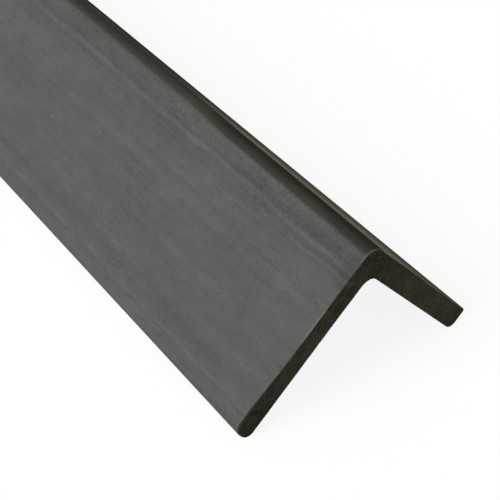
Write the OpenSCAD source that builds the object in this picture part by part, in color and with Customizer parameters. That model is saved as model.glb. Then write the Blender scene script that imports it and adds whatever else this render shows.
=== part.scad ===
// Composite angle trim: one extruded length of wood-plastic composite, an equal angle
// with a rounded heel, a filleted inside corner and eased toes, sawn square at both ends.
// It lies on its two toes with the heel up. Y runs along the trim and Z is up.
// The origin is on the floor, under the middle of the trim.
// Lengths are in millimetres.

/* [Stock] */
// Length of the trim as it is sold
trim_length = 2200; // [300:10:4000]

/* [Face leg] */
// Outside width of the face leg, from the heel to its toe
face_leg = 50; // [30:0.5:80]
// Wall of the face leg
face_wall = 6; // [4:0.1:10]
// Radius on the outer corner of the face leg's toe
face_toe_outer_r = 3; // [0.5:0.1:4]
// Radius on the inner corner of the face leg's toe
face_toe_inner_r = 2; // [0.5:0.1:3]

/* [Return leg] */
// Outside width of the return leg, from the heel to its toe
return_leg = 50; // [30:0.5:80]
// Wall of the return leg
return_wall = 6; // [4:0.1:10]
// Radius on the outer corner of the return leg's toe
return_toe_outer_r = 0.7; // [0.5:0.1:4]
// Radius on the inner corner of the return leg's toe
return_toe_inner_r = 2; // [0.5:0.1:3]

/* [Heel] */
// Radius on the outside of the heel
heel_r = 4; // [0.5:0.1:9]
// Radius of the fillet in the inside corner
fillet_r = 3; // [0.5:0.1:9]

/* [Hidden] */
$fn = 96;

// Charcoal of the sanded composite
composite_colour = [0.37, 0.38, 0.37];

// How far a corner's cutter reaches past the faces that it rounds
cutter_reach = 1;

// A toe's outer radius takes no more of the wall than its inner radius leaves
face_outer_r = min(face_toe_outer_r, face_wall - face_toe_inner_r);
return_outer_r = min(return_toe_outer_r, return_wall - return_toe_inner_r);

// Centres of the four toe arcs, in the section's own frame: X down the face leg, Y down the return leg
face_inner_centre = [face_leg - face_toe_inner_r, face_wall - face_toe_inner_r];
face_outer_centre = [face_leg - face_outer_r, face_outer_r];
return_inner_centre = [return_wall - return_toe_inner_r, return_leg - return_toe_inner_r];
return_outer_centre = [return_outer_r, return_leg - return_outer_r];

// The trim lies on the line that touches both inner toe arcs, and this turn makes that line level
toe_span = return_inner_centre - face_inner_centre;
toe_rise = return_toe_inner_r - face_toe_inner_r;
lie_angle = asin(toe_rise / norm(toe_span)) - atan2(toe_span.y, toe_span.x);

// A point of the section after that turn
function turned(p) = [
    p.x * cos(lie_angle) - p.y * sin(lie_angle),
    p.x * sin(lie_angle) + p.y * cos(lie_angle)
];

// Where the turned section meets the floor, and where its sides are
floor_y = turned(face_inner_centre).y - face_toe_inner_r;
left_x = turned(face_outer_centre).x - face_outer_r;
right_x = turned(return_outer_centre).x + return_outer_r;

// What lies between a square corner at the origin and the arc that rounds it.
// Taken away from an outside corner it eases the edge, and added to an inside one it is a fillet.
module corner_piece(r) {
    difference() {
        translate([-cutter_reach, -cutter_reach])
            square(r + cutter_reach);
        translate([r, r])
            circle(r);
    }
}

// The angle with its inside corner filled and its outside corners still square
module square_edged_angle() {
    square([face_leg, face_wall]);
    square([return_wall, return_leg]);
    translate([return_wall, face_wall])
        corner_piece(fillet_r);
}

// The extruder's section, with the heel at the origin
module trim_section() {
    difference() {
        square_edged_angle();
        corner_piece(heel_r);
        translate([face_leg, 0])
            rotate(90)
                corner_piece(face_outer_r);
        translate([face_leg, face_wall])
            rotate(180)
                corner_piece(face_toe_inner_r);
        translate([0, return_leg])
            rotate(-90)
                corner_piece(return_outer_r);
        translate([return_wall, return_leg])
            rotate(180)
                corner_piece(return_toe_inner_r);
    }
}

// The section turned on to its toes, level with the floor and centred across it
module lying_section() {
    translate([-(left_x + right_x) / 2, -floor_y])
        rotate(lie_angle)
            trim_section();
}

// The whole length, one piece
module angle_trim() {
    color(composite_colour)
        rotate([90, 0, 0])
            linear_extrude(height = trim_length, center = true)
                lying_section();
}

angle_trim();
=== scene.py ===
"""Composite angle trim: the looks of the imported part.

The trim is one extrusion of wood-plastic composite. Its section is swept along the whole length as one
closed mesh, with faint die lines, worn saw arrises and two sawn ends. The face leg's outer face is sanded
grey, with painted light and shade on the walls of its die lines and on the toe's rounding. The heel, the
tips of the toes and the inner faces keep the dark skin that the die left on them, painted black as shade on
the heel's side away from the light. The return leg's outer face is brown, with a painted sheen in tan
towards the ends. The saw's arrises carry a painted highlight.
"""

import math
from types import SimpleNamespace

import bpy
import numpy as np
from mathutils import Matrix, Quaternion, Vector


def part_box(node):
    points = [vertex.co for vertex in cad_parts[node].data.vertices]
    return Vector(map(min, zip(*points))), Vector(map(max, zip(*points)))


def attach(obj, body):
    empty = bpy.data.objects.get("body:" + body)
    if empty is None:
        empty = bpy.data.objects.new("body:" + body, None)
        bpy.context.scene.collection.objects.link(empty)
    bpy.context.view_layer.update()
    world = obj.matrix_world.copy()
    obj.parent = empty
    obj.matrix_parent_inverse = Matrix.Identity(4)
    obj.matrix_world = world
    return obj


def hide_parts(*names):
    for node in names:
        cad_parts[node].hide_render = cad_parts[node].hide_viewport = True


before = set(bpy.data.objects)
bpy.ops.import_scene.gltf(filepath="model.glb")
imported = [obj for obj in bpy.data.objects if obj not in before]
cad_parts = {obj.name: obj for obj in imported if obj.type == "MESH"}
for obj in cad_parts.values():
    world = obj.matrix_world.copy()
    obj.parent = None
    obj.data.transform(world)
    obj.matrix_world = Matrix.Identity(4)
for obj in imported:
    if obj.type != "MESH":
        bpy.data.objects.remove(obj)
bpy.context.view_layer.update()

# Section of the trim, in metres
MM = 0.001
LEG = 50 * MM
WALL = 6 * MM
HEEL_R = 4 * MM
FILLET_R = 3 * MM
FACE_TOE_OUTER_R = 3 * MM
FACE_TOE_INNER_R = 2 * MM
RETURN_TOE_OUTER_R = 0.7 * MM
RETURN_TOE_INNER_R = 2 * MM

# The trim lies on its toes, so each leg slopes at 45 degrees
SLOPE = math.sqrt(0.5)
DOWN_FACE_LEG = Vector((-SLOPE, 0, -SLOPE))
DOWN_RETURN_LEG = Vector((SLOPE, 0, -SLOPE))
ALONG_TRIM = Vector((0, 1, 0))

# Where the two ends are, and the heel's sharp corner, before it is rounded
low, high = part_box("angle_trim")
NEAR_END = low.y
FAR_END = high.y
LENGTH = FAR_END - NEAR_END
LEFT_REACH = (LEG - 2 * FACE_TOE_OUTER_R) * SLOPE + FACE_TOE_OUTER_R
RIGHT_REACH = (LEG - 2 * RETURN_TOE_OUTER_R) * SLOPE + RETURN_TOE_OUTER_R
HEEL_X = (LEFT_REACH - RIGHT_REACH) / 2
HEEL_Z = low.z + (LEG + WALL - 2 * FACE_TOE_INNER_R) * SLOPE + FACE_TOE_INNER_R
HEEL_CORNER = Vector((HEEL_X, 0, HEEL_Z))

# Die lines along the outer faces of both legs: distance from the heel's corner, half width and depth
DIE_LINES = [
    (6.1 * MM, 1.0 * MM, 0.060 * MM),
    (8.9 * MM, 0.9 * MM, 0.060 * MM),
    (17.2 * MM, 0.8 * MM, 0.025 * MM),
    (21.6 * MM, 0.7 * MM, 0.035 * MM),
    (33.5 * MM, 1.2 * MM, 0.020 * MM),
    (41.2 * MM, 1.8 * MM, 0.030 * MM),
    (45.8 * MM, 0.6 * MM, 0.025 * MM),
]

# How far a die line wanders to the side, what share of its depth it has and how much that varies, each with
# the length over which it changes
DIE_WANDER = 0.35 * MM
DIE_WANDER_LENGTH = 160 * MM
DIE_DEPTH_SHARE = 0.65
DIE_DEPTH_VARIES = 0.35
DIE_DEPTH_LENGTH = 70 * MM

# What was taken off the outer faces
SANDED_OFF = 0.02 * MM

# How far the arris of a saw cut is worn back, how much that varies over a few and over many millimetres,
# and how much more the corner at the face leg's toe has lost, and where that starts
ARRIS = 0.22 * MM
ARRIS_RAGGED = 0.25
ARRIS_RAGGED_LENGTH = 1.5 * MM
ARRIS_WANDER = 0.40
ARRIS_WANDER_LENGTH = 8 * MM
ARRIS_AT_TOE = 1.1
TOE_LOSS_FROM = 36 * MM
TOE_LOSS_OVER = 9 * MM

# The near end is sawn a little out of square, so that the face leg's toe reaches furthest, and the mesh
# behind it straightens over a short reach
CUT_LEAN_DEG = 2.54
CUT_LEAN = math.tan(math.radians(CUT_LEAN_DEG))
LEAN_REACH = 80 * MM

# How deep the saw's roughness is
SAWN_ROUGH = 0.03 * MM

# Spacing of the mesh down the legs, its steps across a die line in half widths, and the decimals of a metre
# to which two places count as one
FACE_SPACING = 1.4 * MM
DIE_LINE_STEPS = (-1, -0.5, 0, 0.5, 1)
SAME_PLACE_DIGITS = 5

# Steps of the mesh round a toe, round the heel, and across the wall at a saw cut
TOE_STEPS = 8
HEEL_STEPS = 22
CAP_ROWS = 8

# Stations along the trim: the first ones in from an end, and how far apart the later ones are and grow
FIRST_STATIONS = (0.05 * MM, 0.14 * MM, 0.28 * MM, 0.6 * MM, 1.5 * MM)
STATION_SPACING = 2.6 * MM
STATION_GROWTH = 0.022

# Start of the random draws
SEED = 2200


# Meshes

def smooth_noise(rng, places, spacing):
    """Smooth random values from -1 to 1 at the given places, with one new value for each spacing."""
    steps = (places - places.min()) / spacing
    knots = rng.uniform(-1, 1, int(steps.max()) + 3)
    first = steps.astype(int)
    share = steps - first
    share = share * share * (3 - 2 * share)
    return knots[first] * (1 - share) + knots[first + 1] * share


def arc(centre, radius, start, end, count):
    """Points and outward directions along an arc, by angles in degrees, without its first point."""
    turns = np.radians(np.linspace(start, end, count + 1)[1:])
    away = np.stack([np.cos(turns), np.sin(turns)], 1)
    return np.array(centre) + radius * away, away


def straight(start, end, shares, away):
    """Points from start to end at the given shares of the way, all facing the same direction."""
    start, end = np.array(start), np.array(end)
    points = start + np.asarray(shares)[:, None] * (end - start)
    return points, np.tile(np.array(away, float), (len(points), 1))


def face_shares(toe_r):
    """Shares of the way from a toe to the heel, closer together at the die lines."""
    places = list(np.arange(HEEL_R, LEG - toe_r, FACE_SPACING))
    for place, half_width, _ in DIE_LINES:
        places += [place + half_width * step for step in DIE_LINE_STEPS]
    on_face = [p for p in places if HEEL_R < p < LEG - toe_r]
    places = np.unique(np.round(on_face, SAME_PLACE_DIGITS))
    return (LEG - toe_r - places[::-1]) / (LEG - toe_r - HEEL_R)


def chain(pieces):
    """One run of points and of outward directions from pieces of them."""
    points = np.concatenate([p for p, _ in pieces])
    away = np.concatenate([a for _, a in pieces])
    return points, away / np.linalg.norm(away, axis=1)[:, None]


def section():
    """The outer and the inner run of the section, from the face leg's toe to the return leg's toe.

    X is the distance down the face leg from the heel's corner, and Y the distance down the return leg. Both
    runs have as many points, and point i of one lies across the wall from point i of the other.
    """
    face_r, return_r = FACE_TOE_OUTER_R, RETURN_TOE_OUTER_R
    face_in, return_in = FACE_TOE_INNER_R, RETURN_TOE_INNER_R
    face_tip = (LEG, (face_r + WALL - face_in) / 2)
    return_tip = ((return_r + WALL - return_in) / 2, LEG)
    to_heel = face_shares(face_r)
    from_heel = 1 - face_shares(return_r)[::-1]
    even_to = np.linspace(0, 1, len(to_heel) + 2)[1:-1]
    even_from = np.linspace(0, 1, len(from_heel) + 2)[1:-1]
    ends = [0.0, 1.0]
    outer = chain([
        straight(face_tip, (LEG, face_r), ends, (1, 0)),
        arc((LEG - face_r, face_r), face_r, 0, -90, TOE_STEPS),
        straight((LEG - face_r, 0), (HEEL_R, 0), to_heel, (0, -1)),
        straight((HEEL_R, 0), (HEEL_R, 0), [0.0], (0, -1)),
        arc((HEEL_R, HEEL_R), HEEL_R, -90, -180, HEEL_STEPS),
        straight((0, HEEL_R), (0, LEG - return_r), from_heel, (-1, 0)),
        straight((0, LEG - return_r), (0, LEG - return_r), [0.0], (-1, 0)),
        arc((return_r, LEG - return_r), return_r, 180, 90, TOE_STEPS),
        straight((return_r, LEG), return_tip, [1.0], (0, 1)),
    ])
    corner = WALL + FILLET_R
    fillet, hollow = arc((corner, corner), FILLET_R, -90, -180, HEEL_STEPS)
    inner = chain([
        straight(face_tip, (LEG, WALL - face_in), ends, (1, 0)),
        arc((LEG - face_in, WALL - face_in), face_in, 0, 90, TOE_STEPS),
        straight((LEG - face_in, WALL), (corner, WALL), even_to, (0, 1)),
        straight((corner, WALL), (corner, WALL), [0.0], (0, 1)),
        (fillet, -hollow),
        straight((WALL, corner), (WALL, LEG - return_in), even_from, (1, 0)),
        straight((WALL, LEG - return_in), (WALL, LEG - return_in), [0.0], (1, 0)),
        arc((WALL - return_in, LEG - return_in), return_in, 0, 90, TOE_STEPS),
        straight((WALL - return_in, LEG), return_tip, [1.0], (0, 1)),
    ])
    return outer, inner


def stations():
    """Places along the trim from the near end to the far one, closer together towards the ends."""
    half_length = LENGTH / 2
    half = list(FIRST_STATIONS)
    while half[-1] < half_length:
        half.append(half[-1] + STATION_SPACING + STATION_GROWTH * half[-1])
    half = np.array(half)
    half *= half_length / half[-1]
    from_near = np.concatenate([[0], half])
    return np.concatenate([NEAR_END + from_near, FAR_END - from_near[-2::-1]])


def die_line_relief(rng, reach, along):
    """How far the outer faces and their die lines lie in, for each place along and round the section."""
    depth = np.zeros((len(along), len(reach))) + np.where(reach > 0, SANDED_OFF, 0)
    for place, half_width, deep in DIE_LINES:
        wander = place + DIE_WANDER * smooth_noise(rng, along, DIE_WANDER_LENGTH)
        strength = DIE_DEPTH_SHARE + DIE_DEPTH_VARIES * smooth_noise(rng, along, DIE_DEPTH_LENGTH)
        off = (reach[None, :] - wander[:, None]) / half_width
        depth += deep * strength[:, None] * np.clip(1 - off * off, 0, 1) ** 2
    return depth


def arris_wear(rng, outline, along):
    """How far the arrises of both saw cuts are worn in, for each place along and round the section."""
    girth = np.concatenate([[0], np.cumsum(np.linalg.norm(np.diff(outline, axis=0), axis=1))])
    by_toe = np.clip((outline[:, 0] - TOE_LOSS_FROM) / TOE_LOSS_OVER, 0, 1) * (outline[:, 1] < WALL / 2)
    depth = np.zeros((len(along), len(outline)))
    for end in (NEAR_END, FAR_END):
        ragged = ARRIS_RAGGED * smooth_noise(rng, girth, ARRIS_RAGGED_LENGTH)
        wander = ARRIS_WANDER * smooth_noise(rng, girth, ARRIS_WANDER_LENGTH)
        worn = ARRIS * (1 + ragged + wander + ARRIS_AT_TOE * by_toe)
        share = np.clip(1 - np.abs(along - end)[:, None] / worn, 0, 1)
        depth += (1 - np.sqrt(1 - share * share)) * worn
    return depth


def to_frame(points, along):
    """Points of the section, set at a place along the trim."""
    down_face, down_return = np.array(DOWN_FACE_LEG), np.array(DOWN_RETURN_LEG)
    placed = np.array(HEEL_CORNER) + points[..., :1] * down_face + points[..., 1:] * down_return
    placed[..., 1] = along
    return placed


def cut_lean(down_face):
    """How far the near cut lies behind the near end, by the distance down the face leg."""
    return CUT_LEAN * (LEG - down_face)


def side_faces(rows, size):
    """Faces between the rows of points, each row being one turn round the section."""
    step = np.arange(size)
    start = np.arange(rows - 1)[:, None] * size
    following = (step + 1) % size
    corners = [start + step, start + size + step, start + size + following, start + following]
    return np.stack(corners, -1).reshape(-1, 4)[:, ::-1].tolist()


def cap_faces(first, ring, count, flip):
    """Faces that close one end, in rows across the wall between the outer and the inner run.

    The ring lists the vertices round the end: as many as count of the outer run, and then the inner run
    backwards. The vertices inside the cap are numbered from first.
    """
    grid = np.empty((count, CAP_ROWS + 1), int)
    grid[:, 0] = ring[:count]
    grid[:, -1] = np.concatenate([[ring[0]], ring[count:][::-1], [ring[count - 1]]])
    inside = np.arange((count - 2) * (CAP_ROWS - 1)).reshape(count - 2, CAP_ROWS - 1)
    grid[1:-1, 1:-1] = first + inside
    grid[0, :] = ring[0]
    grid[-1, :] = ring[count - 1]
    faces = []
    for i in range(count - 1):
        for j in range(CAP_ROWS):
            corners = [grid[i, j], grid[i + 1, j], grid[i + 1, j + 1], grid[i, j + 1]]
            corners = list(dict.fromkeys(int(c) for c in corners))
            faces.append(corners[::-1] if flip else corners)
    return faces


def cap_points(rng, edge, count, end, inward):
    """Points inside one end, in rows across the wall, a hair below the plane of the cut."""
    edge_out = edge[:count]
    edge_in = np.concatenate([edge_out[:1], edge[count:][::-1], edge_out[-1:]])
    shares = (np.arange(1, CAP_ROWS) / CAP_ROWS)[None, :, None]
    inside = edge_out[1:-1, None] * (1 - shares) + edge_in[1:-1, None] * shares
    surface = end + inward * rng.uniform(0, SAWN_ROUGH, inside.shape[:2])
    if end == NEAR_END:
        surface += cut_lean(inside[..., 0])
    return to_frame(inside, surface).reshape(-1, 3)


def mark_sharp(mesh, rings):
    """Keeps the edges round the saw cuts sharp between smooth faces."""
    on_ring = np.zeros(len(mesh.vertices), bool)
    on_ring[np.concatenate(rings)] = True
    pairs = np.empty(len(mesh.edges) * 2, np.int32)
    mesh.edges.foreach_get("vertices", pairs)
    sharp = mesh.attributes.new("sharp_edge", "BOOLEAN", "EDGE")
    sharp.data.foreach_set("value", on_ring[pairs].reshape(-1, 2).all(1))


def trim_mesh():
    """The whole trim as one closed mesh. Its faces carry material 0, and its sawn ends material 1."""
    rng = np.random.default_rng(SEED)
    (outer, outer_away), (inner, inner_away) = section()
    count = len(outer)
    outline = np.concatenate([outer, inner[-2:0:-1]])
    away = np.concatenate([outer_away, inner_away[-2:0:-1]])
    size = len(outline)
    along = stations()
    reach = np.where(np.arange(size) < count, outline.max(1), 0)
    sunk = die_line_relief(rng, reach, along)
    sunk += arris_wear(rng, outline, along)
    swept = outline[None] - sunk[..., None] * away[None]
    fade = np.clip(1 - (along - NEAR_END) / LEAN_REACH, 0, 1)
    leaning = along[:, None] + fade[:, None] * cut_lean(swept[..., 0])

    vertices = [to_frame(swept, leaning).reshape(-1, 3)]
    faces = side_faces(len(along), size)
    sides = len(faces)
    rings = []
    for station, end, inward in ((0, NEAR_END, 1), (len(along) - 1, FAR_END, -1)):
        ring = station * size + np.arange(size)
        rings.append(ring)
        first = sum(len(points) for points in vertices)
        faces += cap_faces(first, ring, count, flip=inward > 0)
        vertices.append(cap_points(rng, swept[station], count, end, inward))

    mesh = bpy.data.meshes.new("angle_trim_composite")
    mesh.from_pydata(np.concatenate(vertices).tolist(), [], faces)
    materials = np.zeros(len(faces), np.int32)
    materials[sides:] = 1
    mesh.polygons.foreach_set("material_index", materials)
    mesh.polygons.foreach_set("use_smooth", np.ones(len(faces), bool))
    mark_sharp(mesh, rings)
    mesh.update()
    return mesh


# Finishes

# How little the composite shines
SHINE = 0.12

# Sockets of a Mix node that mixes two colours
MIX_SHARE = 0
MIX_FIRST = 6
MIX_SECOND = 7
MIX_RESULT = 2


class Tone:
    """A value in a finish's nodes that takes Python's operators."""

    def __init__(self, finish, socket):
        self.finish = finish
        self.socket = socket

    def maths(self, operation, first, second=0.0):
        return self.finish.node("ShaderNodeMath", {"operation": operation}, {0: first, 1: second})

    def __add__(self, other):
        return self.maths("ADD", self, other)

    def __radd__(self, other):
        return self.maths("ADD", other, self)

    def __sub__(self, other):
        return self.maths("SUBTRACT", self, other)

    def __rsub__(self, other):
        return self.maths("SUBTRACT", other, self)

    def __mul__(self, other):
        return self.maths("MULTIPLY", self, other)

    def __rmul__(self, other):
        return self.maths("MULTIPLY", other, self)

    def __abs__(self):
        return self.maths("ABSOLUTE", self)

    def larger(self, other):
        return self.maths("MAXIMUM", self, other)

    def smaller(self, other):
        return self.maths("MINIMUM", self, other)


class Finish:
    """The nodes of a material or of the world, with one method that adds any of them."""

    def __init__(self, owner):
        owner.use_nodes = True
        self.tree = owner.node_tree
        self.tree.nodes.clear()

    def node(self, kind, settings=None, sockets=None, output=0):
        """Adds a node: its settings first, then the values or links of its sockets."""
        made = self.tree.nodes.new(kind)
        for name, value in (settings or {}).items():
            setattr(made, name, value)
        for name, value in (sockets or {}).items():
            if isinstance(value, Tone):
                self.tree.links.new(value.socket, made.inputs[name])
            else:
                made.inputs[name].default_value = value
        return Tone(self, made.outputs[output]) if len(made.outputs) else None

    def place(self):
        """The place on the trim, in metres in the part's frame."""
        return self.node("ShaderNodeTexCoord", output="Object")

    def scaled(self, place, steps):
        """The place with its own number of steps a metre on each axis."""
        return self.node("ShaderNodeVectorMath", {"operation": "MULTIPLY"}, {0: place, 1: steps})

    def distance(self, place, start, direction):
        """How far a place lies from start in a direction."""
        there = self.node("ShaderNodeVectorMath", {"operation": "SUBTRACT"}, {0: place, 1: start})
        sockets = {0: there, 1: direction}
        return self.node("ShaderNodeVectorMath", {"operation": "DOT_PRODUCT"}, sockets, "Value")

    def noise(self, place, detail, roughness):
        """Smooth noise from about -1 to 1."""
        sockets = {"Vector": place, "Scale": 1.0, "Detail": detail, "Roughness": roughness}
        return self.node("ShaderNodeTexNoise", {}, sockets) * 2.0 - 1.0

    def grain(self, place, across, along, detail, roughness):
        """Smooth noise with its own number of steps a metre across the trim and along it."""
        return self.noise(self.scaled(place, (across, along, across)), detail, roughness)

    def ease(self, value, start, end):
        """0 before start and 1 after end, with a smooth step between them."""
        sockets = {"Value": value, "From Min": start, "From Max": end}
        return self.node("ShaderNodeMapRange", {"interpolation_type": "SMOOTHSTEP"}, sockets)

    def between(self, share, first, second):
        """The first colour at share 0 and the second at share 1."""
        sockets = {MIX_SHARE: share, MIX_FIRST: first, MIX_SECOND: second}
        return self.node("ShaderNodeMix", {"data_type": "RGBA"}, sockets, MIX_RESULT)

    def shaded(self, colour, tone):
        """A colour made darker or lighter by a tone, where 1 leaves it as it is."""
        settings = {"data_type": "RGBA", "blend_type": "MULTIPLY"}
        sockets = {MIX_SHARE: 1.0, MIX_FIRST: colour, MIX_SECOND: tone}
        return self.node("ShaderNodeMix", settings, sockets, MIX_RESULT)

    def raised(self, height, distance, strength):
        """Normals of a fine relief whose height is from 0 to 1 and whose full height is distance."""
        sockets = {"Height": height, "Distance": distance, "Strength": strength}
        return self.node("ShaderNodeBump", {}, sockets)

    def surface(self, colour, roughness, normal):
        """The finished surface."""
        sockets = {
            "Base Color": colour,
            "Roughness": roughness,
            "Normal": normal,
            "Specular IOR Level": SHINE,
        }
        shader = self.node("ShaderNodeBsdfPrincipled", {}, sockets)
        self.node("ShaderNodeOutputMaterial", {}, {"Surface": shader})


# Colours of the composite
SANDED_GREY = (0.1160, 0.1210, 0.1168, 1)
SKIN_BROWN = (0.057, 0.0575, 0.0495, 1)
# Black of the heel's skin: painted shade on its side turned from the light
SKIN_IN_PAINTED_SHADE = (0.034, 0.031, 0.018, 1)
RETURN_BROWN = (0.066, 0.060, 0.043, 1)
# Tan of the painted sheen on the return leg's outer face towards the ends
SHEEN_TAN = (0.172, 0.150, 0.102, 1)
# Pale grey of the painted highlight along the saw's arrises
ARRIS_HIGHLIGHT = (0.245, 0.232, 0.198, 1)
SAWN_BROWN = (0.045, 0.041, 0.026, 1)
SAWN_RED = (0.057, 0.0455, 0.030, 1)
SAWN_OLIVE = (0.038, 0.040, 0.027, 1)

# Noises of the finishes: steps a metre across the trim and along it, detail and roughness
CLOUDS = (130, 50, 3.0, 0.55)
MOTTLE = (420, 230, 3.0, 0.6)
STREAKS = (700, 20, 3.0, 0.6)
FIBRES = (1500, 150, 2.0, 0.6)
SPECKLE = (1500, 1100, 2.0, 0.5)
PITS = (1300, 210, 2.0, 0.5)
PATCHES = (110, 35, 1.0, 0.5)
DRIFT = (0, 6, 1.0, 0.5)
WOBBLE = (300, 110, 2.0, 0.5)
TORN_MARKS = (700, 90, 2.0, 0.5)
BEND = (25, 70, 3.0, 0.55)
RAGGED = (180, 0, 3.0, 0.6)
SCRATCHES = (2600, 40, 3.0, 0.6)
SAWN_GRAINS = (900, 900, 3.0, 0.6)
SAWN_MOTTLE = (240, 240, 3.0, 0.6)
SAWN_TINT = (150, 700, 2.0, 0.5)

# From what value of its noise a pit starts and is full
PITS_FROM = (0.26, 0.50)

# How deep below the outer faces their finish stops, round the toes
OUTSIDE_DEPTH = (1.8 * MM, 2.6 * MM)

# How far in from an end the heel's finish changes
INWARD = (48 * MM, 68 * MM)


def trim_values(finish):
    """The distances on the trim, and the noises, that the parts of its finish share."""
    at = SimpleNamespace(place=finish.place())
    at.down_face = finish.distance(at.place, HEEL_CORNER, DOWN_FACE_LEG)
    at.down_return = finish.distance(at.place, HEEL_CORNER, DOWN_RETURN_LEG)
    from_near = finish.distance(at.place, Vector((0, NEAR_END, 0)), ALONG_TRIM)
    from_cut = from_near - cut_lean(at.down_face)
    at.to_end = from_cut.smaller(LENGTH - from_near)
    at.outside = 1 - finish.ease(at.down_face.smaller(at.down_return), *OUTSIDE_DEPTH)
    at.inward = finish.ease(at.to_end, *INWARD)
    at.clouds = finish.grain(at.place, *CLOUDS)
    at.mottle = finish.grain(at.place, *MOTTLE)
    at.streaks = finish.grain(at.place, *STREAKS)
    at.fibres = finish.grain(at.place, *FIBRES)
    at.speckle = finish.grain(at.place, *SPECKLE)
    at.pits = finish.ease(finish.grain(at.place, *PITS), *PITS_FROM)
    at.drift = finish.grain(at.place, *DRIFT)
    at.wobble = finish.grain(at.place, *WOBBLE)
    return at


# Lines along the face leg, tone streaks that the sander left and painted light and shade on the walls of
# the die lines and on the toe's rounding: distance from the heel's corner, fade towards the heel and the
# toe, tone, and the share of that tone that lasts away from the ends
LINES_AND_PAINTED_GROOVE_SHADE = [
    # The first six lines, dark and light by turns beside the die lines at 6.1 and 8.9 mm, are painted light
    # and shade on these die lines' walls
    (7.0 * MM, 3.0 * MM, 0.8 * MM, -0.16, 0.6),
    (7.1 * MM, 0.7 * MM, 0.5 * MM, -0.10, 0.6),
    (8.1 * MM, 0.5 * MM, 0.7 * MM, 0.18, 0.6),
    (9.5 * MM, 1.3 * MM, 0.6 * MM, -0.17, 0.5),
    (9.6 * MM, 0.4 * MM, 0.4 * MM, -0.08, 0.3),
    (10.4 * MM, 0.4 * MM, 0.9 * MM, 0.16, 0.0),
    (11.0 * MM, 2.0 * MM, 2.2 * MM, -0.10, 1.0),
    (17.4 * MM, 0.5 * MM, 0.5 * MM, -0.07, 1.0),
    (21.7 * MM, 0.6 * MM, 0.5 * MM, -0.10, 1.0),
    (29.0 * MM, 1.6 * MM, 1.6 * MM, -0.03, 1.0),
    (41.6 * MM, 2.8 * MM, 2.4 * MM, -0.11, 1.0),
    (45.1 * MM, 0.8 * MM, 0.7 * MM, 0.08, 1.0),
    (45.8 * MM, 0.4 * MM, 0.4 * MM, -0.05, 1.0),
    (46.5 * MM, 0.4 * MM, 0.5 * MM, 0.06, 1.0),
    (47.3 * MM, 0.4 * MM, 0.4 * MM, -0.04, 1.0),
    # The last line is painted shade on the toe's rounding, where it turns from the light, strongest by the
    # ends
    (48.9 * MM, 0.9 * MM, 1.1 * MM, -0.18, 0.4),
]

# How far in from an end the lines lose what doesn't last, and how far they wander over long lengths and
# over short ones
LINES_FADE = (10 * MM, 40 * MM)
LINES_DRIFT = 0.4 * MM
LINES_BEND = 1.1 * MM

# How a line comes and goes along the trim: steps a metre, the shift to the next line's noise, the noise's
# detail and roughness, from what value the line shows, and what is left of it in between
LINE_STEPS = 45
LINE_SHIFT = 3.7
LINE_NOISE = (5.0, 0.75)
LINE_SHOWS = (-0.25, 0.25)
LINE_LEAST = 0.2


def lines_and_painted_groove_shade(finish, at, by_end):
    """The tone that the sander's lines and the painted light and shade of the die lines and the toe add,
    each of them fading in and out along the trim.
    """
    reach = at.down_face + at.drift * LINES_DRIFT + finish.grain(at.place, *BEND) * LINES_BEND
    tone = 0.0
    for number, (distance, to_heel, to_toe, strength, lasting) in enumerate(LINES_AND_PAINTED_GROOVE_SHADE):
        sockets = {0: at.place, 1: (0, LINE_STEPS, 0), 2: (number * LINE_SHIFT, 0, 0)}
        step = finish.node("ShaderNodeVectorMath", {"operation": "MULTIPLY_ADD"}, sockets)
        fade = finish.ease(finish.noise(step, *LINE_NOISE), *LINE_SHOWS)
        off = reach - distance
        near = finish.ease(off, -to_heel, 0.0) * (1 - finish.ease(off, 0.0, to_toe))
        tone = tone + near * (LINE_LEAST + fade) * (lasting + (1 - lasting) * by_end) * strength
    return tone


# How much each noise lightens or darkens the sanded grey, with what the heel's side adds, and from what
# value of their noise the patches of fibres and speckle show
GREY_CLOUDS = 0.18
GREY_MOTTLE = 0.16
GREY_STREAKS = 0.14
GREY_SPECKLE = 0.13
GREY_SPECKLE_BY_HEEL = 0.07
GREY_PITS = 0.03
GREY_PITS_BY_HEEL = 0.04
GREY_PATCHES = 0.14
PATCHES_FROM = (-0.1, 0.35)

# How far the heel's side reaches, how much darker it is, also by the ends, and how much lighter the rest is
# away from the ends
BY_HEEL = (6.0 * MM, 13.0 * MM)
HEEL_DARKER = 0.05
HEEL_DARKER_BY_END = 0.06
INWARD_LIGHTER = 0.03

# The saw's torn marks: from what value of their noise they show, how dark they are, how much the heel's
# side darkens there and how far that reaches, and how far in from the cut all of this fades
TORN_SHOWS = (0.10, 0.40)
TORN_DARK = 0.14
TORN_HEEL_DARK = 0.11
TORN_HEEL = (11.5 * MM, 13.5 * MM)
TORN_FADE = (1.2 * MM, 4.5 * MM)


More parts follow.
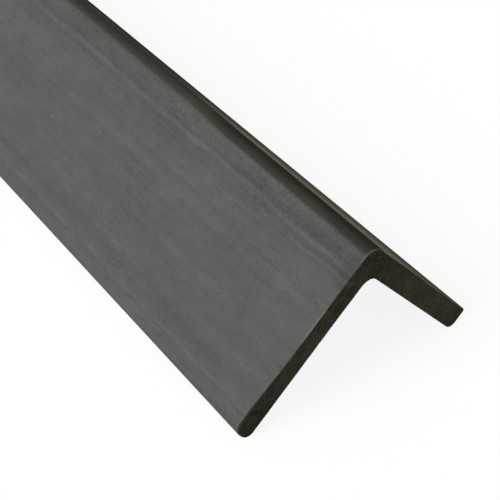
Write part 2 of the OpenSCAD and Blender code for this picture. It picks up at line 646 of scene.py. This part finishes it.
def sanded_grey(finish, at):
    """The colour of the face leg's sanded face, with painted light and shade along its die lines and toe.
    """
    by_end = 1 - finish.ease(at.to_end, *LINES_FADE)
    by_heel = 1 - finish.ease(at.down_face, *BY_HEEL)
    patches = finish.ease(finish.grain(at.place, *PATCHES), *PATCHES_FROM)
    torn = finish.ease(finish.grain(at.place, *TORN_MARKS), *TORN_SHOWS) * TORN_DARK
    torn = torn + TORN_HEEL_DARK * (1 - finish.ease(at.down_face, *TORN_HEEL))
    torn = torn * (1 - finish.ease(at.to_end, *TORN_FADE))
    tone = 1 + at.inward * (1 - by_heel) * INWARD_LIGHTER
    tone = tone + at.clouds * GREY_CLOUDS + at.mottle * GREY_MOTTLE + at.streaks * GREY_STREAKS
    tone = tone + at.speckle * (GREY_SPECKLE + GREY_SPECKLE_BY_HEEL * by_heel)
    tone = tone + (at.fibres + at.speckle) * patches * GREY_PATCHES
    # The lines carry painted light and shade on the die lines' walls and on the toe's rounding
    tone = tone + lines_and_painted_groove_shade(finish, at, by_end)
    tone = tone - by_heel * (HEEL_DARKER + HEEL_DARKER_BY_END * by_end)
    tone = tone - at.pits * (GREY_PITS + GREY_PITS_BY_HEEL * by_heel) - torn
    return finish.shaded(SANDED_GREY, tone)


# Where the heel's skin turns from black to brown, as down the face leg less down the return leg; the black
# is painted shade
BROWN_FROM = (-1.8 * MM, 2.2 * MM)

# Away from the ends, how much of the painted shade's black eases to brown and how much lighter the skin is,
# each with how far down the return leg that reaches
SHADE_EASED = 0.75
SHADE_EASED_TO = (3.0 * MM, 6.0 * MM)
SKIN_LIGHTER = 0.3
SKIN_LIGHTER_TO = (1.0 * MM, 4.0 * MM)

# The return leg's outer face: where its brown starts below the heel, how much further down it starts away
# from the ends, and how far that edge wobbles
RETURN_FROM = (2.8 * MM, 5.0 * MM)
RETURN_FURTHER = 3.5 * MM
RETURN_WOBBLE = 0.5 * MM

# How far in from an end that face carries a painted sheen in tan, how far clouds and streaks draw this out,
# where the face darkens towards the toe, and how much of the tan and, away from the ends, of the brown is
# lost there
SHEEN_REACH = (42 * MM, 78 * MM)
SHEEN_STREAKS = 30 * MM
RETURN_DARKER = (12 * MM, 32 * MM)
TAN_LOST = 0.65
BROWN_LOST = 0.4

# How much each noise lightens or darkens the skin
SKIN_STREAKS = 0.25
SKIN_CLOUDS = 0.20
SKIN_FIBRES = 0.15
SKIN_SPECKLE = 0.15


def die_skin(finish, at):
    """The colour of the skin that the die left, with painted shade on the heel, and the share of painted
    sheen on the return leg.
    """
    # The heel's side turned from the light is painted black as shade, less so away from the ends
    on_face_leg = finish.ease(at.down_face - at.down_return, *BROWN_FROM).larger(1 - at.outside)
    shade_eased = SHADE_EASED * at.inward * (1 - finish.ease(at.down_return, *SHADE_EASED_TO))
    skin = finish.between(on_face_leg.larger(shade_eased), SKIN_IN_PAINTED_SHADE, SKIN_BROWN)
    lighter = SKIN_LIGHTER * at.inward * (1 - finish.ease(at.down_return, *SKIN_LIGHTER_TO))
    skin = finish.shaded(skin, 1 + lighter)

    on_return = at.down_return - at.inward * RETURN_FURTHER + at.wobble * RETURN_WOBBLE
    on_return = finish.ease(on_return, *RETURN_FROM) * at.outside
    # A painted sheen in tan on the return leg's outer face towards the ends, less towards the toe
    from_sheen = at.to_end - at.down_return + at.clouds * SHEEN_STREAKS + at.streaks * SHEEN_STREAKS
    darker = finish.ease(at.down_return, *RETURN_DARKER)
    painted_sheen = (1 - finish.ease(from_sheen, *SHEEN_REACH)) * (1 - TAN_LOST * darker)
    brown = finish.shaded(RETURN_BROWN, 1 - BROWN_LOST * at.inward * darker)
    skin = finish.between(on_return, skin, finish.between(painted_sheen, brown, SHEEN_TAN))

    tone = 1 + at.streaks * SKIN_STREAKS + at.clouds * SKIN_CLOUDS
    tone = tone + at.fibres * SKIN_FIBRES + at.speckle * SKIN_SPECKLE
    return finish.shaded(skin, tone), painted_sheen * on_return


# How wide the painted highlight along a saw's arris is, and how far the fibres fray it
LIGHT_WIDTH = (0.16 * MM, 0.36 * MM)
ARRIS_FRAYED = 0.08 * MM

# How light the painted highlight is in spots, and from what value of their noise these show
LIGHT_SPOTS = 0.2
SPOTS_SHOW = (-0.2, 0.3)

# How light the painted highlight is along the middle of the face leg, how much that varies, where the
# middle of this length is and how far from there it fades
HIGHLIGHT_ALONG = 0.7
HIGHLIGHT_ALONG_VARIES = 0.4
LIGHT_MIDDLE = 21 * MM
LIGHT_FADE = (2 * MM, 6 * MM)

# How light the painted highlight is by the heel, and how far that reaches
LIGHT_HEEL = 0.35
LIGHT_HEEL_TO = (4 * MM, 7 * MM)

# Where the arris is worn dark towards the toe, where this grows to its full width, that width, how much it
# varies, and how soft the edge is
DARK_FROM = (28 * MM, 34 * MM)
DARK_WIDEST = (30 * MM, 46 * MM)
DARK_WIDTH = 0.36 * MM
DARK_RAGGED = 0.25 * MM
DARK_EDGE = 0.08 * MM


def arris_highlight_and_wear(finish, at, colour):
    """The colour with the saw's arris on it: a painted highlight along it in places, and worn dark towards
    the toe.
    """
    ragged = finish.grain(at.place, *RAGGED)
    to_arris = at.to_end + at.fibres * ARRIS_FRAYED
    from_middle = abs(at.down_face - LIGHT_MIDDLE)
    # The painted highlight along the arris: in spots, along the middle of the face leg and by the heel
    light = LIGHT_SPOTS * finish.ease(ragged, *SPOTS_SHOW)
    painted_sheen = 1 - finish.ease(from_middle, *LIGHT_FADE)
    light = light + painted_sheen * (HIGHLIGHT_ALONG + HIGHLIGHT_ALONG_VARIES * ragged)
    light = light + LIGHT_HEEL * (1 - finish.ease(at.down_face, *LIGHT_HEEL_TO))
    light = light * (1 - finish.ease(to_arris, *LIGHT_WIDTH)) * at.outside
    colour = finish.between(light, colour, ARRIS_HIGHLIGHT)
    dark_width = finish.ease(at.down_face, *DARK_WIDEST) * DARK_WIDTH + ragged * DARK_RAGGED
    dark = (1 - finish.ease(to_arris - dark_width, -DARK_EDGE, DARK_EDGE)) * at.outside
    dark = dark * finish.ease(at.down_face, *DARK_FROM)
    return finish.between(dark, colour, SAWN_BROWN)


# Where the sanding of the face leg starts on the heel, how much further round the heel it reaches away from
# the ends, and how far its edge drifts and wobbles
SANDED_FROM = (2.5 * MM, 3.4 * MM)
SANDED_FURTHER = 0.65 * MM
SANDED_DRIFT = 0.2 * MM
SANDED_WOBBLE = 0.15 * MM

# The fine relief: its full height, its strength, its level, how much each noise moves it and how much a pit
# lowers it
RELIEF_HEIGHT = 0.08 * MM
RELIEF_STRENGTH = 0.6
RELIEF_LEVEL = 0.5
RELIEF_SCRATCHES = 0.15
RELIEF_FIBRES = 0.20
RELIEF_SPECKLE = 0.25
RELIEF_MOTTLE = 0.20
RELIEF_PITS = 0.3

# How matt the faces are, how much smoother where the sheen is painted, and how much that varies
MATT = 0.84
SHEEN_SMOOTHER = 0.40
MATT_STREAKS = 0.06
MATT_MOTTLE = 0.05


def sanded_composite():
    """The faces of the trim: the face leg sanded grey, and the die's dark skin everywhere else, with
    painted light, shade, sheen and highlights in places.
    """
    material = bpy.data.materials.new("sanded_composite")
    finish = Finish(material)
    at = trim_values(finish)
    grey = sanded_grey(finish, at)
    skin, painted_sheen = die_skin(finish, at)
    sanding = at.down_face + at.inward * SANDED_FURTHER
    sanding = sanding + at.drift * SANDED_DRIFT + at.wobble * SANDED_WOBBLE
    sanded = finish.ease(sanding, *SANDED_FROM) * at.outside
    colour = arris_highlight_and_wear(finish, at, finish.between(sanded, skin, grey))

    scratches = finish.grain(at.place, *SCRATCHES)
    height = RELIEF_LEVEL + RELIEF_SCRATCHES * scratches + RELIEF_FIBRES * at.fibres
    height = height + RELIEF_SPECKLE * at.speckle + RELIEF_MOTTLE * at.mottle - RELIEF_PITS * at.pits
    normal = finish.raised(height, RELIEF_HEIGHT, RELIEF_STRENGTH)
    roughness = MATT - SHEEN_SMOOTHER * painted_sheen + MATT_STREAKS * at.streaks + MATT_MOTTLE * at.mottle
    finish.surface(colour, roughness, normal)
    return material


# Marks of the saw's blade: steps a metre on each axis, and the noise's detail and roughness
BLADE_STEPS = (90, 0, 2400)
BLADE_NOISE = (2.0, 0.5)

# From what value of their noises the cut is red or olive, how olive it grows down the face leg, and where
RED_SHOWS = (-0.1, 0.4)
OLIVE_SHOWS = (-0.1, 0.4)
OLIVE_TO_TOE = 0.7
OLIVE_REACH = (12 * MM, 36 * MM)

# Tone of the cut at the heel, how much paler it turns away from there, where, and how much sooner on the
# return leg, and how much it darkens again by the face leg's toe, and where
CUT_TONE = 0.86
CUT_PALER = 0.31
CUT_PALER_FROM = (8 * MM, 30 * MM)
RETURN_SOONER = 1.4
CUT_TOE_DARKER = 0.28
CUT_TOE_FROM = (36 * MM, 46 * MM)

# How much the mottle and the blade's marks lighten or darken the cut
CUT_MOTTLE = 0.5
CUT_BLADE = 0.25

# The cut's fine relief, and how matt it is
CUT_RELIEF_HEIGHT = 0.10 * MM
CUT_RELIEF_STRENGTH = 0.5
CUT_RELIEF_GRAINS = 0.3
CUT_RELIEF_BLADE = 0.2
CUT_MATT = 0.80
CUT_MATT_GRAINS = 0.08


def sawn_composite():
    """The sawn ends: dark brown, mottled, with fine marks of the blade."""
    material = bpy.data.materials.new("sawn_composite")
    finish = Finish(material)
    place = finish.place()
    down_face = finish.distance(place, HEEL_CORNER, DOWN_FACE_LEG)
    down_return = finish.distance(place, HEEL_CORNER, DOWN_RETURN_LEG)
    grains = finish.grain(place, *SAWN_GRAINS)
    mottle = finish.grain(place, *SAWN_MOTTLE)
    tint = finish.grain(place, *SAWN_TINT)
    blade = finish.noise(finish.scaled(place, BLADE_STEPS), *BLADE_NOISE)

    colour = finish.between(finish.ease(mottle, *RED_SHOWS), SAWN_BROWN, SAWN_RED)
    olive = finish.ease(tint, *OLIVE_SHOWS).larger(OLIVE_TO_TOE * finish.ease(down_face, *OLIVE_REACH))
    colour = finish.between(olive, colour, SAWN_OLIVE)
    paler = finish.ease(down_face.larger(down_return * RETURN_SOONER), *CUT_PALER_FROM)
    tone = CUT_TONE + CUT_PALER * paler - CUT_TOE_DARKER * finish.ease(down_face, *CUT_TOE_FROM)
    colour = finish.shaded(colour, tone + grains + mottle * CUT_MOTTLE + blade * CUT_BLADE)

    height = RELIEF_LEVEL + CUT_RELIEF_GRAINS * grains + CUT_RELIEF_BLADE * blade
    normal = finish.raised(height, CUT_RELIEF_HEIGHT, CUT_RELIEF_STRENGTH)
    finish.surface(colour, CUT_MATT + CUT_MATT_GRAINS * grains, normal)
    return material


WHITE = (1, 1, 1, 1)

# The floor's grey, the share of it that glows white to the eye, and how strong that glow is, so that the
# lit floor is just white
FLOOR_GREY = (0.76, 0.76, 0.76, 1)
FLOOR_GLOW = 0.75
FLOOR_WHITE = 1.18


def pale_floor():
    """The floor: pale, white to the eye, with the trim's soft shadow left on it."""
    material = bpy.data.materials.new("pale_floor")
    finish = Finish(material)
    seen = finish.node("ShaderNodeLightPath", output="Is Camera Ray")
    lit = finish.node("ShaderNodeBsdfDiffuse", {}, {"Color": FLOOR_GREY})
    white = finish.node("ShaderNodeEmission", {}, {"Color": WHITE, "Strength": FLOOR_WHITE})
    shader = finish.node("ShaderNodeMixShader", {}, {0: seen * FLOOR_GLOW, 1: lit, 2: white})
    finish.node("ShaderNodeOutputMaterial", {}, {"Surface": shader})
    return material


# The trim

trim = bpy.data.objects.new("angle_trim_composite", trim_mesh())
bpy.context.scene.collection.objects.link(trim)
trim.data.materials.append(sanded_composite())
trim.data.materials.append(sawn_composite())
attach(trim, "root")
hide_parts("angle_trim")

# The floor

FLOOR_REACH = 12.0
FLOOR_CORNERS = ((-1, -1), (1, -1), (1, 1), (-1, 1))

floor_mesh = bpy.data.meshes.new("floor")
floor_points = [(x * FLOOR_REACH, y * FLOOR_REACH, low.z) for x, y in FLOOR_CORNERS]
floor_mesh.from_pydata(floor_points, [], [(0, 1, 2, 3)])
floor_mesh.materials.append(pale_floor())
floor = bpy.data.objects.new("floor", floor_mesh)
bpy.context.scene.collection.objects.link(floor)

# Light: soft and low from the left, with an even fill all round

KEY_HEIGHT_DEG = 28
KEY_BACK_DEG = 4
KEY_STRENGTH = 2.05
KEY_SOFTNESS_DEG = 35
KEY_COLOUR = (0.97, 1.0, 1.0)
KEY_DISTANCE = 2
FILL = 0.34
FILL_COLOUR = (1.0, 0.95, 0.86, 1)

key_data = bpy.data.lights.new("left_window", "SUN")
key_data.energy = KEY_STRENGTH
key_data.angle = math.radians(KEY_SOFTNESS_DEG)
key_data.color = KEY_COLOUR
key = bpy.data.objects.new("left_window", key_data)
tilt, back = math.radians(KEY_HEIGHT_DEG), math.radians(KEY_BACK_DEG)
to_key = Vector((-math.cos(tilt) * math.cos(back), math.cos(tilt) * math.sin(back), math.sin(tilt)))
key.rotation_mode = "QUATERNION"
key.rotation_quaternion = to_key.to_track_quat("Z", "Y")
key.location = HEEL_CORNER + to_key * KEY_DISTANCE
bpy.context.scene.collection.objects.link(key)

world = bpy.data.worlds.new("studio")
bpy.context.scene.world = world
studio = Finish(world)
fill = studio.node("ShaderNodeBackground", {}, {"Color": FILL_COLOUR, "Strength": FILL})
white = studio.node("ShaderNodeBackground", {}, {"Color": WHITE, "Strength": 1.0})
seen = studio.node("ShaderNodeLightPath", output="Is Camera Ray")
shown = studio.node("ShaderNodeMixShader", {}, {0: seen, 1: fill, 2: white})
studio.node("ShaderNodeOutputWorld", {}, {"Surface": shown})

# Camera: from the left of the near end, looking along the trim and down on it

# The picture's side and the focus in pixels, and the place from the heel's corner at the near cut
PICTURE_SIDE = 500
CAMERA_FOCUS = 1203.0
CAMERA_OFFSET = Vector((-145.69, -134.57, 155.85)) * MM
CAMERA_TURN_DEG = 39.77
CAMERA_DIP_DEG = 39.23
CAMERA_ROLL_DEG = 5.35

# The camera's own sensor in millimetres, and how near and how far it sees in metres
SENSOR_WIDTH = 36.0
NEAREST_SEEN = 0.005
FURTHEST_SEEN = 100

camera_data = bpy.data.cameras.new("camera")
camera_data.sensor_width = SENSOR_WIDTH
camera_data.lens = CAMERA_FOCUS / PICTURE_SIDE * SENSOR_WIDTH
camera_data.clip_start = NEAREST_SEEN
camera_data.clip_end = FURTHEST_SEEN
camera = bpy.data.objects.new("camera", camera_data)
camera.location = HEEL_CORNER + Vector((0, NEAR_END + cut_lean(0), 0)) + CAMERA_OFFSET
turn, dip = math.radians(CAMERA_TURN_DEG), math.radians(CAMERA_DIP_DEG)
looking = Vector((math.sin(turn) * math.cos(dip), math.cos(turn) * math.cos(dip), -math.sin(dip)))
camera.rotation_mode = "QUATERNION"
level = looking.to_track_quat("-Z", "Y")
camera.rotation_quaternion = level @ Quaternion((0, 0, 1), math.radians(CAMERA_ROLL_DEG))
bpy.context.scene.collection.objects.link(camera)
bpy.context.scene.camera = camera

bpy.context.scene.view_settings.view_transform = "Standard"
